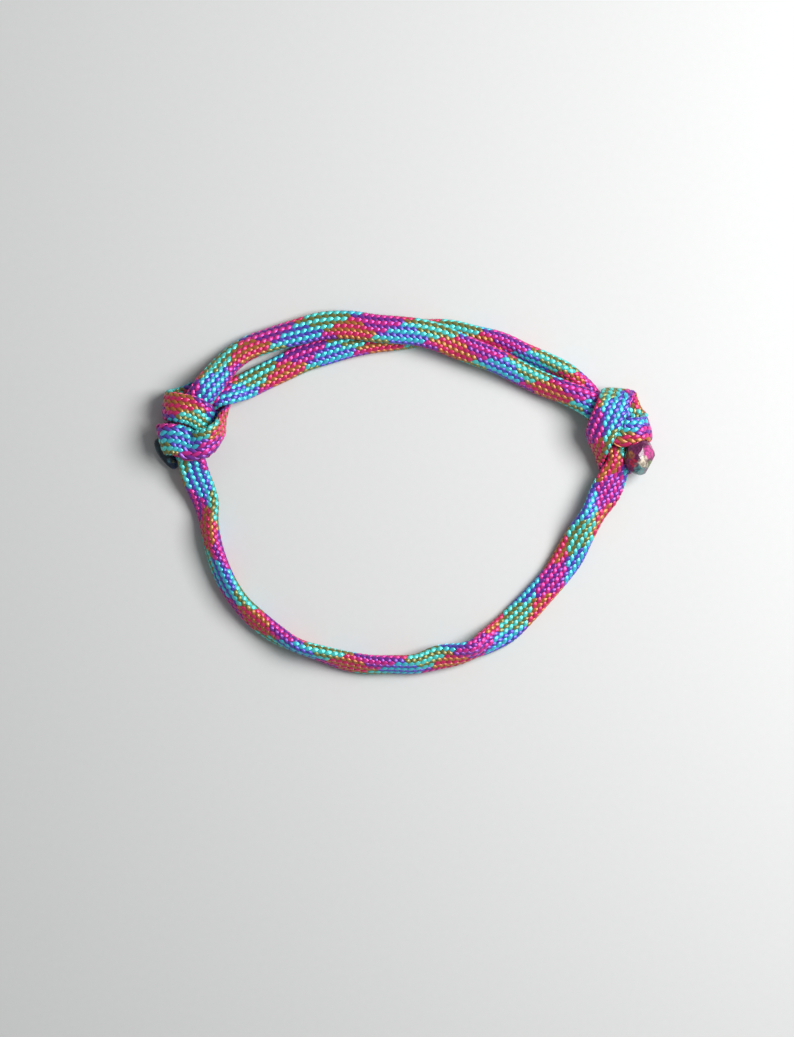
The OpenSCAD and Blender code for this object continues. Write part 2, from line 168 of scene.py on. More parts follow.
# The turns tied round the over strand, from the under strand to the dark melted end
LEFT_KNOT_ROUTE: tuple[Row, ...] = (
    (-0.0319, 0.0165, 0.0028, 0.0049, 0.2, -0.4, -1.0),
    (-0.034, 0.0155, 0.0025, 0.005, 0.1, -0.1, -1.0),
    (-0.0358, 0.0141, 0.0022, 0.005, 0.0, 0.0, -1.0),
    (-0.037, 0.012, 0.0023, 0.005, 0.0, 0.0, -1.0),
    (-0.0383, 0.0103, 0.0023, 0.005, 0.0, 0.0, -1.0),
    (-0.0398, 0.0092, 0.0024, 0.0051, -0.3, -0.1, -1.0),
    (-0.0408, 0.0089, 0.003, 0.0053, -1.0, -0.3, -0.7),
    (-0.0412, 0.0087, 0.004, 0.0054, -1.0, -0.3, 0.1),
    (-0.0409, 0.0087, 0.0051, 0.0054, -0.8, -0.2, 0.8),
    (-0.0399, 0.0087, 0.0057, 0.0054, -0.3, -0.1, 1.0),
    (-0.0381, 0.0084, 0.0058, 0.0054, 0.0, 0.0, 1.0),
    (-0.0362, 0.0076, 0.0058, 0.0053, 0.0, 0.0, 1.0),
    (-0.0348, 0.0078, 0.0062, 0.0052, 0.2, -0.1, 1.0),
    (-0.0332, 0.0086, 0.0061, 0.005, 0.5, -0.3, 0.8),
    (-0.0319, 0.0098, 0.0054, 0.005, 0.9, -0.3, 0.5),
    (-0.0312, 0.0111, 0.004, 0.005, 1.0, 0.0, 0.1),
    (-0.0311, 0.0122, 0.0025, 0.005, 0.9, 0.1, -0.5),
    (-0.0317, 0.0137, 0.0013, 0.005, 0.3, 0.2, -1.0),
    (-0.0333, 0.0152, 0.0008, 0.005, 0.0, 0.0, -1.0),
    (-0.0353, 0.0161, 0.0008, 0.005, 0.0, 0.0, -1.0),
    (-0.0373, 0.0154, 0.0008, 0.005, 0.0, 0.0, -1.0),
    (-0.0392, 0.0149, 0.0011, 0.005, -0.6, 0.0, -1.0),
    (-0.0402, 0.0147, 0.0021, 0.005, -1.0, 0.1, -0.4),
    (-0.0405, 0.0145, 0.0036, 0.005, -1.0, 0.1, 0.2),
    (-0.0399, 0.0143, 0.0049, 0.005, -0.7, 0.1, 0.9),
    (-0.0382, 0.014, 0.0059, 0.005, -0.1, 0.1, 1.0),
    (-0.0364, 0.0136, 0.006, 0.005, 0.0, 0.0, 1.0),
    (-0.0349, 0.0129, 0.0059, 0.005, 0.2, -0.2, 1.0),
    (-0.0339, 0.012, 0.0052, 0.005, 0.8, -0.4, 0.7),
    (-0.0335, 0.011, 0.0041, 0.005, 1.0, -0.1, 0.0),
    (-0.0333, 0.0104, 0.003, 0.005, 1.0, 0.0, -0.1),
    (-0.0335, 0.0098, 0.0019, 0.005, 0.9, 0.0, -0.5),
    (-0.0343, 0.0088, 0.0009, 0.005, 0.1, 0.0, -1.0),
    (-0.0363, 0.0083, 0.0008, 0.005, 0.0, 0.0, -1.0),
    (-0.0384, 0.0075, 0.0008, 0.005, 0.0, 0.0, -1.0),
    (-0.04, 0.0068, 0.0009, 0.005, 0.0, 0.0, -1.0),
    (-0.0412, 0.0057, 0.001, 0.005, 0.0, 0.0, -1.0),
)

# The turns tied round the under strand, from the over strand to the faceted melted end
RIGHT_KNOT_ROUTE: tuple[Row, ...] = (
    (0.0306, 0.015, 0.0038, 0.0046, -0.1, -0.2, 1.0),
    (0.0328, 0.0136, 0.0038, 0.0049, 0.0, 0.0, 1.0),
    (0.0348, 0.0119, 0.0039, 0.0049, 0.0, 0.0, 1.0),
    (0.0364, 0.01, 0.0049, 0.0052, 0.0, 0.0, 1.0),
    (0.0382, 0.01, 0.0051, 0.0049, 0.1, 0.0, 1.0),
    (0.0397, 0.0102, 0.0046, 0.0046, 0.4, 0.1, 1.0),
    (0.0404, 0.0104, 0.0035, 0.0046, 1.0, 0.3, 0.3),
    (0.0404, 0.0106, 0.0022, 0.0046, 1.0, 0.3, -0.4),
    (0.0397, 0.0111, 0.0012, 0.0048, 0.3, 0.1, -1.0),
    (0.0383, 0.0123, 0.0009, 0.005, 0.1, 0.0, -1.0),
    (0.0371, 0.0145, 0.001, 0.0051, 0.0, 0.3, -1.0),
    (0.0365, 0.0161, 0.0021, 0.0053, 0.0, 1.0, -0.5),
    (0.0359, 0.0168, 0.0035, 0.0055, 0.0, 1.0, 0.3),
    (0.0355, 0.016, 0.0053, 0.0056, 0.0, 0.7, 1.0),
    (0.0348, 0.0142, 0.0063, 0.0056, 0.0, 0.1, 1.0),
    (0.0339, 0.0121, 0.0065, 0.0056, -0.1, 0.0, 1.0),
    (0.0329, 0.0099, 0.0061, 0.0054, -0.4, -0.1, 1.0),
    (0.0323, 0.0082, 0.0051, 0.0051, -0.7, -0.4, 0.8),
    (0.0323, 0.0072, 0.0035, 0.0049, -0.9, -0.5, 0.3),
    (0.0328, 0.0062, 0.0019, 0.0049, -0.8, -0.4, -0.5),
    (0.034, 0.0056, 0.001, 0.005, -0.2, -0.1, -1.0),
    (0.0356, 0.0053, 0.0008, 0.005, 0.0, 0.0, -1.0),
    (0.0372, 0.0053, 0.0009, 0.005, 0.1, 0.0, -1.0),
    (0.0386, 0.0055, 0.0016, 0.0049, 0.6, 0.0, -1.0),
    (0.0394, 0.0055, 0.0027, 0.0048, 0.9, -0.2, -0.6),
    (0.0402, 0.0053, 0.0038, 0.0048, 0.9, -0.2, -0.6),
)


class Way(Enum):
    """The two ways round the sleeve that its yarns are wound."""

    RIGHT = 1
    LEFT = -1


class Fibre(Enum):
    """The yarn colours and the core, as the material slots of a stretch of cord."""

    PINK = 0
    CYAN = 1
    VIOLET = 2
    OCHRE = 3
    CORE = 4


def scaled(colour: Colour, share: float) -> Colour:
    """Makes a colour darker or lighter."""
    return tuple(share * part for part in colour)


class Paint:
    """A new material with one Principled shader, and the nodes that feed it."""

    def __init__(self, name: str) -> None:
        """Makes the material under a name."""
        self.material = bpy.data.materials.new(name)
        self.material.use_nodes = True
        self.tree = self.material.node_tree
        self.shader = self.tree.nodes["Principled BSDF"]

    def give(self, target: NodeSocket, value: object) -> None:
        """Gives a socket its value.

        Args:
            target: The socket.
            value: Another socket to link, or a number or a colour to set.
        """
        if isinstance(value, NodeSocket):
            self.tree.links.new(value, target)
        else:
            target.default_value = (*value, 1.0) if isinstance(value, tuple) else value

    def shade(self, **values: object) -> None:
        """Gives the shader's sockets their values.

        Args:
            values: The values by the sockets' names, with a low line for each space.
        """
        for name, value in values.items():
            self.give(self.shader.inputs[name.replace("_", " ")], value)

    def reckon(self, operation: str, *terms: object) -> NodeSocket:
        """Adds a Math node.

        Args:
            operation: The Math node's operation.
            terms: Sockets or numbers, in the node's order.

        Returns:
            The node's value.
        """
        node = self.tree.nodes.new("ShaderNodeMath")
        node.operation = operation
        for place, term in zip(node.inputs, terms):
            self.give(place, term)
        return node.outputs[0]

    def held(self, value: NodeSocket, most: float) -> NodeSocket:
        """Holds a value between 0 and the most that it may be."""
        return self.reckon("MAXIMUM", self.reckon("MINIMUM", value, most), 0.0)

    def mixed(self, share: NodeSocket, low: object, high: object) -> NodeSocket:
        """Mixes two colours.

        Args:
            share: The share of the second colour.
            low: The first colour, as three numbers or a socket.
            high: The second colour, in the same form.

        Returns:
            The mixed colour.
        """
        node = self.tree.nodes.new("ShaderNodeMix")
        node.data_type = "RGBA"
        self.give(node.inputs["Factor"], share)
        self.give(node.inputs[6], low)
        self.give(node.inputs[7], high)
        return node.outputs[2]

    def noise(self, where: NodeSocket, scale: float, detail: float = 2.0) -> NodeSocket:
        """Adds a noise from 0 to 1 over a coordinate.

        Args:
            where: The coordinate.
            scale: Spots for each unit of the coordinate.
            detail: The noise's octaves.

        Returns:
            The noise's value.
        """
        node = self.tree.nodes.new("ShaderNodeTexNoise")
        self.give(node.inputs["Scale"], scale)
        self.give(node.inputs["Detail"], detail)
        self.give(node.inputs["Vector"], where)
        return node.outputs["Fac"]

    def bump(self, height: NodeSocket, strength: float, depth: float) -> NodeSocket:
        """Adds a bump.

        Args:
            height: The bump's height from 0 to 1.
            strength: The bump's strength.
            depth: The height of the bump in metres.

        Returns:
            The direction that the surface then seems to look.
        """
        node = self.tree.nodes.new("ShaderNodeBump")
        self.give(node.inputs["Strength"], strength)
        self.give(node.inputs["Distance"], depth)
        self.give(node.inputs["Height"], height)
        return node.outputs[0]

    def apart(self, where: NodeSocket) -> tuple[NodeSocket, NodeSocket]:
        """Takes the first two numbers out of a coordinate."""
        node = self.tree.nodes.new("ShaderNodeSeparateXYZ")
        self.give(node.inputs[0], where)
        return node.outputs[0], node.outputs[1]

    def on_yarn(self) -> NodeSocket:
        """Adds the place on the yarns' own map."""
        node = self.tree.nodes.new("ShaderNodeUVMap")
        node.uv_map = YARN_MAP
        return node.outputs[0]

    def on_piece(self) -> NodeSocket:
        """Adds the place on the piece, in the bracelet's frame."""
        return self.tree.nodes.new("ShaderNodeTexCoord").outputs["Object"]

    def bounce_share(self) -> NodeSocket:
        """Adds how much the crossing yarns are of the second colour of their way, for the painted
        bounce tint.
        """
        node = self.tree.nodes.new("ShaderNodeAttribute")
        node.attribute_name = BOUNCE_SHARE
        return node.outputs["Fac"]

    def across_yarn(self) -> NodeSocket:
        """Adds the direction in which a yarn's light is stretched."""
        node = self.tree.nodes.new("ShaderNodeTangent")
        node.direction_type = "UV_MAP"
        node.uv_map = YARN_MAP
        return node.outputs[0]


@dataclass(frozen=True)
class YarnFinish:
    """Shiny yarn of fine filaments, with a painted tint of bounce light from the yarns that cross
    it.

    The pattern follows the map named Yarn: its first axis goes once round the yarn and its second
    runs along it in millimetres. The attribute named Beside says how much the crossing yarns are of
    the second colour of their way, and so which of the two painted bounce tints the yarn takes.
    """

    name: str
    bounce_tint_first: Colour
    bounce_tint_second: Colour
    # The share of each colour in its darker copy, used for darker patches at random and as painted
    # shade in the filaments' grooves
    depth: float = 0.30
    roughness: float = 0.35
    satin: float = 0.42
    stretch: float = 0.9
    gloss: float = 0.9
    sheen: float = 0.12
    sheen_roughness: float = 0.35
    filaments: float = 11.0
    twist: float = 1.6
    ridge_height: float = 0.000012
    ridge_strength: float = 0.6
    groove_shade: float = 0.5
    patches: float = 1.7
    patch_detail: float = 3.0
    patch_light: float = 1.2
    least_light: float = -0.25
    patch_roughness: float = 0.2

    def material(self) -> Material:
        """Builds the yarn's material."""
        paint = Paint(self.name)
        place = paint.on_yarn()
        around, along = paint.apart(place)
        lean = paint.reckon("MULTIPLY", along, self.twist)
        turn = paint.reckon("MULTIPLY_ADD", around, self.filaments, lean)
        wave = paint.reckon("SINE", paint.reckon("MULTIPLY", turn, math.tau))
        ridge = paint.reckon("MULTIPLY_ADD", wave, 0.5, 0.5)
        patch = paint.noise(place, self.patches, self.patch_detail)
        # How light the colour is: patches at random, and the grooves between the filaments darker
        # as painted shade
        light = paint.reckon("MULTIPLY_ADD", patch, self.patch_light, self.least_light)
        light = paint.reckon("MULTIPLY_ADD", ridge, self.groove_shade, light)
        # Painted bounce light: the yarn's colour is mixed between two tints by the crossing yarns'
        # colours
        share = paint.bounce_share()
        pair = (self.bounce_tint_first, self.bounce_tint_second)
        colour = paint.mixed(share, *pair)
        dark_patch_and_groove_shade = paint.mixed(share, *(scaled(tint, self.depth) for tint in pair))
        smoothest = self.roughness - self.patch_roughness / 2
        paint.shade(
            Base_Color=paint.mixed(light, dark_patch_and_groove_shade, colour),
            Roughness=paint.reckon("MULTIPLY_ADD", patch, self.patch_roughness, smoothest),
            Normal=paint.bump(ridge, self.ridge_strength, self.ridge_height),
            Tangent=paint.across_yarn(),
            Anisotropic=self.stretch,
            Metallic=self.satin,
            Specular_IOR_Level=self.gloss,
            Sheen_Weight=self.sheen,
            Sheen_Roughness=self.sheen_roughness,
        )
        return paint.material


@dataclass(frozen=True)
class CoreFinish:
    """The inside of the sleeve, painted near black as the shade that shows only between its yarns.
    """

    # Near black: painted shade in the gaps between the yarns
    colour: Colour = (0.02, 0.015, 0.03)
    lighter: float = 2.0
    patches: float = 3.0
    roughness: float = 0.9

    def material(self) -> Material:
        """Builds the core's material."""
        paint = Paint("sleeve_inside_painted_shade")
        patch = paint.noise(paint.on_yarn(), self.patches)
        colour = paint.mixed(patch, self.colour, scaled(self.colour, self.lighter))
        paint.shade(Base_Color=colour, Roughness=self.roughness)
        return paint.material


# Each yarn's colour in two tints, with painted bounce light from the crossing way's first colour
# and from its second
YARN_FINISHES = {
    Fibre.PINK: YarnFinish("pink_yarn", (0.96, 0.040, 0.44), (0.97, 0.035, 0.19)),
    Fibre.CYAN: YarnFinish("cyan_yarn", (0.08, 0.76, 1.0), (0.13, 0.95, 0.88), depth=0.38),
    Fibre.VIOLET: YarnFinish("violet_yarn", (0.28, 0.040, 0.46), (0.13, 0.10, 0.72)),
    Fibre.OCHRE: YarnFinish("ochre_yarn", (0.66, 0.23, 0.050), (0.28, 0.29, 0.075), depth=0.24),
}


def unit(vectors: np.ndarray) -> np.ndarray:
    """Scales vectors in the last axis to a length of 1."""
    return vectors / np.linalg.norm(vectors, axis=-1, keepdims=True)


def resampled(wanted: np.ndarray, known: np.ndarray, rows: np.ndarray) -> np.ndarray:
    """Reads rows of values at other distances.

    Args:
        wanted: The distances to read at.
        known: The distances of the rows.
        rows: The rows.

    Returns:
        A row for each distance to read at.
    """
    return np.stack([np.interp(wanted, known, column) for column in rows.T], axis=1)


@dataclass(frozen=True)
class Stations:
    """Samples of a stretch of cord, evenly spaced along it."""

    distance: np.ndarray
    centre: np.ndarray
    across: np.ndarray
    face: np.ndarray
    width: np.ndarray
    thickness: np.ndarray

    @property
    def length(self) -> float:
        """The length of the stretch in metres."""
        return float(self.distance[-1])


@dataclass(frozen=True)
class Route:
    """The line of one stretch of flattened cord, as the solid model sweeps it."""

    rows: tuple[Row, ...]
    girth: float = 0.0116
    pressed: float = 0.0013
    spacing: float = 0.0002
    fine_steps: int = 24

    def stations(self) -> Stations:
        """Samples the route from its second row to its last but one.

        Returns:
            Evenly spaced samples of the route.
        """
        rows = np.array(self.rows)
        spans = np.linalg.norm(np.diff(rows[:, :3], axis=0), axis=1)
        steps = np.diff(rows, axis=0) / spans[:, None]
        before, after = spans[:-1, None], spans[1:, None]
        slopes = (steps[:-1] * after + steps[1:] * before) / (before + after)
        last = len(rows) - 3
        share = np.arange(last * self.fine_steps + 1) / self.fine_steps
        first = np.minimum(share.astype(int), last - 1)
        t = (share - first)[:, None]
        low, high, reach = rows[first + 1], rows[first + 2], spans[first + 1, None]
        low_slope, high_slope = slopes[first] * reach, slopes[first + 1] * reach
        values = (
            (2 * t**3 - 3 * t**2 + 1) * low
            + (3 * t**2 - 2 * t**3) * high
            + (t**3 - 2 * t**2 + t) * low_slope
            + (t**3 - t**2) * high_slope
        )
        heading = (
            (6 * t**2 - 6 * t) * (low - high)
            + (3 * t**2 - 4 * t + 1) * low_slope
            + (3 * t**2 - 2 * t) * high_slope
        )[:, :3]
        run = np.linalg.norm(np.diff(values[:, :3], axis=0), axis=1)
        travelled = np.concatenate([[0.0], np.cumsum(run)])
        count = max(2, round(travelled[-1] / self.spacing) + 1)
        distance = np.linspace(0.0, travelled[-1], count)
        even = resampled(distance, travelled, values)
        along = unit(resampled(distance, travelled, heading))
        across = unit(np.cross(along, even[:, 4:7]))
        width = even[:, 3]
        thickness = np.maximum(self.pressed, (self.girth - 2 * width) / (math.pi - 2))
        return Stations(distance, even[:, :3], across, np.cross(across, along), width, thickness)


class SleeveSurface:
    """A smooth surface inside the sleeve's wall, with places for a distance along and a turn."""

    exponent = 2.5
    corners = 144
    around = 96
    thinnest = 0.00002
    end_margin = 1e-6

    def __init__(self, stations: Stations, inset: float) -> None:
        """Lays out the surface.

        Args:
            stations: The samples of the stretch.
            inset: How far the surface lies inside the cord's outline.
        """
        self.stations = stations
        half_width = np.maximum(stations.width / 2 - inset, self.thinnest)[:, None]
        half_thick = np.maximum(stations.thickness / 2 - inset, self.thinnest)[:, None]
        angle = np.linspace(0, math.tau, self.corners + 1)
        power = 2 / self.exponent
        cosine = np.sign(np.cos(angle)) * np.abs(np.cos(angle)) ** power
        sine = np.sign(np.sin(angle)) * np.abs(np.sin(angle)) ** power
        x, y = half_width * cosine, half_thick * sine
        run = np.cumsum(np.hypot(np.diff(x, axis=1), np.diff(y, axis=1)), axis=1)
        share = np.hstack([np.zeros((len(run), 1)), run / run[:, -1:]])
        turn = np.arange(self.around + 1) / self.around
        x = np.stack([np.interp(turn, row, values) for row, values in zip(share, x)])
        y = np.stack([np.interp(turn, row, values) for row, values in zip(share, y)])
        slope = self.exponent - 1
        nx = np.sign(x) * (np.abs(x) / half_width) ** slope / half_width
        ny = np.sign(y) * (np.abs(y) / half_thick) ** slope / half_thick
        across, face = stations.across[:, None], stations.face[:, None]
        self.places = stations.centre[:, None] + across * x[..., None] + face * y[..., None]
        self.normals = unit(across * nx[..., None] + face * ny[..., None])

    def at(self, distance: np.ndarray, turn: np.ndarray) -> tuple[np.ndarray, np.ndarray]:
        """Reads places and outward directions on the surface.

        Args:
            distance: Distances along the stretch.
            turn: Turns round the cord, of the same shape.

        Returns:
            The places and the outward directions, with three coordinates in the last axis.
        """
        steps = len(self.places) - 1
        i = np.clip(distance / self.stations.length * steps, 0, steps - self.end_margin)
        j = (turn % 1.0) * self.around
        i0, j0 = i.astype(int), np.minimum(j.astype(int), self.around - 1)
        a, b = (i - i0)[..., None], (j - j0)[..., None]
        found = []
        for grid in (self.places, self.normals):
            near = grid[i0, j0] * (1 - b) + grid[i0, j0 + 1] * b
            far = grid[i0 + 1, j0] * (1 - b) + grid[i0 + 1, j0 + 1] * b
            found.append(near * (1 - a) + far * a)
        return found[0], unit(found[1])


@dataclass(frozen=True)
class TubeBundle:
    """Closed tubes side by side: rings of places for tube, ring and corner, and what they carry.

    Each tube has its own column of the bake's map, which starts at the share in columns.
    """

    rings: np.ndarray
    distance: np.ndarray
    bounce_share: np.ndarray
    slots: tuple[int, ...]
    columns: tuple[float, ...]
    column_width: float

    def mesh(self, name: str) -> Mesh:
        """Makes the tubes' mesh, with its maps and material slots.

        Args:
            name: The mesh's name.

        Returns:
            The mesh.
        """
        tubes, rings, corners, _ = self.rings.shape
        tube, ring, corner = np.meshgrid(
            np.arange(tubes), np.arange(rings - 1), np.arange(corners), indexing="ij"
        )
        base = (tube * rings + ring) * corners
        after = (corner + 1) % corners
        near_side = (base + corner, base + after)
        far_side = (base + corners + after, base + corners + corner)
        walls = np.stack(near_side + far_side, axis=-1).reshape(-1, 4)
        loop = np.arange(corners)
        first = (np.arange(tubes) * rings * corners)[:, None] + loop[::-1]
        final = ((np.arange(tubes) * rings + rings - 1) * corners)[:, None] + loop
        indices = np.concatenate([walls.ravel(), first.ravel(), final.ravel()])
        sizes = np.concatenate([np.full(len(walls), 4), np.full(2 * tubes, corners)])
        slot = np.array(self.slots)
        face_slots = np.concatenate([np.repeat(slot, (rings - 1) * corners), slot, slot])
        mesh = bpy.data.meshes.new(name)
        mesh.vertices.add(tubes * rings * corners)
        mesh.vertices.foreach_set("co", self.rings.astype(np.float32).ravel())
        mesh.loops.add(len(indices))
        mesh.loops.foreach_set("vertex_index", indices.astype(np.int32))
        mesh.polygons.add(len(sizes))
        mesh.polygons.foreach_set("loop_start", (np.cumsum(sizes) - sizes).astype(np.int32))
        mesh.polygons.foreach_set("material_index", face_slots.astype(np.int32))
        mesh.polygons.foreach_set("use_smooth", np.ones(len(sizes), bool))
        # The share for each yarn's painted bounce tint, at each ring
        layer = mesh.attributes.new(BOUNCE_SHARE, "FLOAT", "POINT")
        layer.data.foreach_set("value", np.repeat(self.bounce_share.astype(np.float32).ravel(), corners))
        self._write_maps(mesh, tube, ring, corner)
        mesh.update(calc_edges=True)
        mesh.validate()
        return mesh

    def _write_maps(
        self, mesh: Mesh, tube: np.ndarray, ring: np.ndarray, corner: np.ndarray
    ) -> None:
        """Writes the yarn's own map and the bake's map.

        Args:
            mesh: The mesh with its faces in order.
            tube: The tube of each wall face.
            ring: The ring of each wall face.
            corner: The corner of each wall face.
        """
        tubes, _, corners, _ = self.rings.shape
        turn = np.stack([corner, corner + 1, corner + 1, corner], axis=-1) / corners
        rows = np.stack([ring, ring, ring + 1, ring + 1], axis=-1)
        end_turn = np.tile(np.arange(corners) / corners, (tubes, 1))
        turns = np.concatenate([turn.ravel(), end_turn[:, ::-1].ravel(), end_turn.ravel()])
        ends = np.repeat([self.distance[0], self.distance[-1]], tubes * corners)
        distances = np.concatenate([self.distance[rows].ravel(), ends])
        end_owner = np.tile(np.repeat(np.arange(tubes), corners), 2)
        owner = np.concatenate([np.repeat(tube.ravel(), 4), end_owner])
        yarn = (turns + owner, distances * MILLIMETRES)
        start = np.array(self.columns)[owner]
        sideways = start + (BAKE_TURNS[0] + BAKE_TURNS[1] * turns) * self.column_width
        upward = BAKE_LENGTH[0] + BAKE_LENGTH[1] * distances / self.distance[-1]
        for name, axes in ((YARN_MAP, yarn), (BAKE_MAP, (sideways, upward))):
            layer = mesh.uv_layers.new(name=name)
            layer.data.foreach_set("uv", np.stack(axes, axis=1).astype(np.float32).ravel())


@dataclass(frozen=True)
class YarnForm:
    """The section of the yarns of one way, over and under the others, and how far they rise."""

    over_width: float
    under_width: float
    thickness: float
    rise: float


@dataclass(frozen=True)
class Braid:
    """The tubular braid of the sleeve, in which each yarn passes over two and under two."""

    yarns_each_way: int = 16
    cycle: int = 4
    lay: float = 0.0178
    right_form: YarnForm = YarnForm(0.00088, 0.00034, 0.00026, 0.00014)
    left_form: YarnForm = YarnForm(0.00086, 0.00034, 0.00024, 0.00011)
    spread_power: float = 1.6
    wall: float = 0.00023
    sides: int = 6
    steps_per_float: int = 4
    core_inset: float = 0.00048
    core_corners: int = 12
    core_step: float = 0.0008

    @property
    def bake_columns(self) -> int:
        """The columns of the bake's map: one for each yarn, and the last for the core."""
        return 2 * self.yarns_each_way + 1

    def swing(self, column: np.ndarray, way: Way) -> np.ndarray:
        """Where yarns are in their cycle of two over and two under.

        Args:
            column: The place round the cord, counted in crossings.
            way: The way that the yarns are wound.

        Returns:
            Numbers from -1, in the middle under two yarns, to 1, in the middle over two yarns.
        """
        middle = 0.5 if way is Way.RIGHT else 0.5 + self.cycle / 2
        return np.cos(math.tau * (column - middle) / self.cycle)

    def lift(self, swing: np.ndarray) -> np.ndarray:
        """How far yarns lie outside the middle of the wall, as a share of the rise."""
        return np.sin(math.pi / 2 * swing)

    def spread(self, swing: np.ndarray) -> np.ndarray:
        """How far yarns are spread, from 0 under two yarns to 1 in the middle over two yarns."""
        return ((1 + swing) / 2) ** self.spread_power

    def bounce_share(self, turn: np.ndarray, crossing: np.ndarray) -> np.ndarray:
        """How much the crossing yarns are of their way's second colour, for the painted bounce
        tint.

        Args:
            turn: The yarn's turns round the cord.
            crossing: The turns of the crossing way's first yarn.

        Returns:
            Numbers from 0, all of the first colour, to 1, all of the second.
        """
        half = self.yarns_each_way / 2
        place = ((turn - crossing) * self.yarns_each_way - (half - 1) / 2) % self.yarns_each_way
        return np.clip(0.5 + (half / 2 - np.abs(place - half)) / 2, 0.0, 1.0)

    def colours(self, way: Way) -> list[Fibre]:
        """The colour of each yarn of one way, half of them in each of two colours."""
        pair = (Fibre.PINK, Fibre.CYAN) if way is Way.RIGHT else (Fibre.VIOLET, Fibre.OCHRE)
        half = self.yarns_each_way // 2
        return [pair[0]] * half + [pair[1]] * half

    def wound(
        self,
        surface: SleeveSurface,
        distance: np.ndarray,
        turn: np.ndarray,
        swing: np.ndarray,
        form: YarnForm,
    ) -> np.ndarray:
        """Winds the yarns of one way round a stretch.

        Args:
            surface: The middle of the sleeve's wall.
            distance: The distance of each ring along the stretch.
            turn: The turns of each yarn at each ring.
            swing: Where each yarn is in its cycle at each ring.
            form: The section of the yarns.

        Returns:
            Places for yarn, ring and corner.
        """
        place, out = surface.at(np.broadcast_to(distance, turn.shape), turn)
        line = place + out * (self.lift(swing) * form.rise)[..., None]
        along = unit(np.gradient(line, axis=1))
        side = unit(np.cross(along, out))
        up = np.cross(side, along)
        widening = (form.over_width - form.under_width) * self.spread(swing)
        half_width = (form.under_width + widening)[..., None] / 2
        angle = math.pi / 2 + np.arange(self.sides) * math.tau / self.sides
        return (
            line[:, :, None]
            + (side * half_width)[:, :, None] * np.cos(angle)[:, None]
            + (up * form.thickness / 2)[:, :, None] * np.sin(angle)[:, None]
        )

    def yarns(self, stations: Stations, gap: float, turns: dict[Way, Turns]) -> TubeBundle:
        """Winds all the yarns of a stretch.

        Args:
            stations: The samples of the stretch.
            gap: How much of each end of the stretch is left free.
            turns: The turns of each way's first yarn round the cord, at even places along it.

        Returns:
            The yarns' tubes.
        """
        surface = SleeveSurface(stations, self.wall)
        crossing = self.lay / (2 * self.yarns_each_way)
        floats = (stations.length - 2 * gap) / (2 * crossing)
        rings = math.ceil(floats * self.steps_per_float) + 1
        distance = np.linspace(gap, stations.length - gap, rings)
        first = {
            way: np.interp(distance, np.linspace(0.0, stations.length, len(places)), places)
            for way, places in turns.items()
        }
        lattice = sum(first.values()) / 2
        bundles, bounce_share, slots = [], [], []
        for way in Way:
            other = Way.LEFT if way is Way.RIGHT else Way.RIGHT
            form = self.right_form if way is Way.RIGHT else self.left_form
            turn = np.arange(self.yarns_each_way)[:, None] / self.yarns_each_way + first[way]
            swing = self.swing(2 * self.yarns_each_way * (turn - lattice), way)
            bundles.append(self.wound(surface, distance, turn, swing, form))
            bounce_share.append(self.bounce_share(turn, first[other]))
            slots += [fibre.value for fibre in self.colours(way)]
        return TubeBundle(
            rings=np.concatenate(bundles),
            distance=distance,
            bounce_share=np.concatenate(bounce_share),
            slots=tuple(slots),
            columns=tuple(i / self.bake_columns for i in range(self.bake_columns - 1)),
            column_width=1 / self.bake_columns,
        )

    def core(self, stations: Stations, gap: float) -> TubeBundle:
        """Makes the inside of the sleeve, painted near black as shade.

        Args:
            stations: The samples of the stretch.
            gap: How much of each end of the stretch is left free.

        Returns:
            One tube.
        """
        surface = SleeveSurface(stations, self.core_inset)
        rings = math.ceil(stations.length / self.core_step) + 1
        distance = np.linspace(gap, stations.length - gap, rings)
        turn = -np.arange(self.core_corners) / self.core_corners
        place, _ = surface.at(*np.broadcast_arrays(distance[:, None], turn[None]))
        return TubeBundle(
            rings=place[None],
            distance=distance,
            bounce_share=np.zeros((1, rings)),
            slots=(Fibre.CORE.value,),
            columns=(1 - 1 / self.bake_columns,),
            column_width=1 / self.bake_columns,
        )


def mesh_of(name: str, form: BMesh) -> Mesh:
    """Makes a mesh of a form, and frees the form.

    Args:
        name: The mesh's name.
        form: The form.

    Returns:
        The mesh.
    """
    mesh = bpy.data.meshes.new(name)
    form.to_mesh(mesh)
    form.free()
    return mesh


def merged(name: str, parts: list[Mesh]) -> Mesh:
    """Joins meshes into one and removes the parts.

    Args:
        name: The new mesh's name.
        parts: The meshes to join.

    Returns:
        The joined mesh.
    """
    form = bmesh.new()
    for part in parts:
        form.from_mesh(part)
        bpy.data.meshes.remove(part)
    return mesh_of(name, form)


def placed(name: str, data: ID) -> Object:
    """Puts a mesh, lamp or camera into the scene as an object at the origin."""
    piece = bpy.data.objects.new(name, data)
    bpy.context.scene.collection.objects.link(piece)
    return piece


